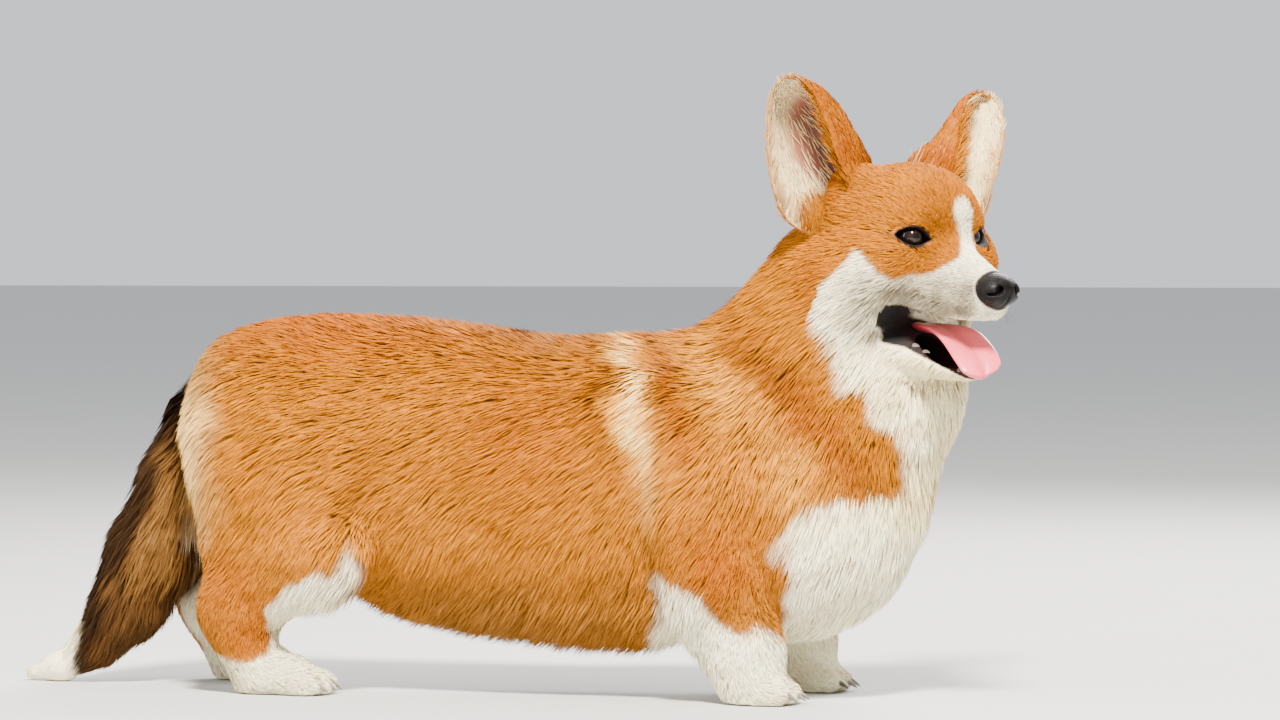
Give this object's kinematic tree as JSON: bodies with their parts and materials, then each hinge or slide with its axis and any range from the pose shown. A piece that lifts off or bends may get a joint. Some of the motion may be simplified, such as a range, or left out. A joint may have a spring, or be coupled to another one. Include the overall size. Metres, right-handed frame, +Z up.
{
  "type": "pembroke welsh corgi model",
  "caption": "Still life-size corgi, standing on four short legs with head turned to its right, mouth open, ears erect and a long brushed tail resting on the floor.",
  "frame": {"origin": "centre of the bounding box, on the ground that the paws stand on", "axes": "+X the way the dog's body faces, +Y towards the dog's left side, +Z up"},
  "size_m": [0.8502, 0.2266, 0.494],
  "materials": {
    "coat_red": "deep orange-red coat with paler bands and dark-tipped hairs over the back, soft and matt",
    "coat_ruff": "long ruff, red over the neck and white on the throat and chest, soft and matt",
    "coat_white": "white coat, soft and matt",
    "coat_tail": "brown brush with blackish hairs above and a white tip, soft and matt",
    "ear": "short red fur outside, thin pale fur and pink skin in the cup",
    "nose": "black, pebbled and moist",
    "tongue": "pink and wet",
    "eye": "dark brown, clear and glossy"
  },
  "bodies": {
    "root": {"torso": "coat_red", "neck": "coat_ruff", "head": "coat_red", "lower_jaw": "coat_white", "tongue": "tongue", "nose": "nose", "eye_right": "eye", "eye_left": "eye", "ear_right": "ear", "ear_left": "ear", "tail": "coat_tail", "foreleg_right": "coat_red", "forepaw_right": "coat_white", "hindleg_right": "coat_red", "hindpaw_right": "coat_white", "foreleg_left": "coat_red", "forepaw_left": "coat_white", "hindleg_left": "coat_red", "hindpaw_left": "coat_white"}
  },
  "joints": []
}
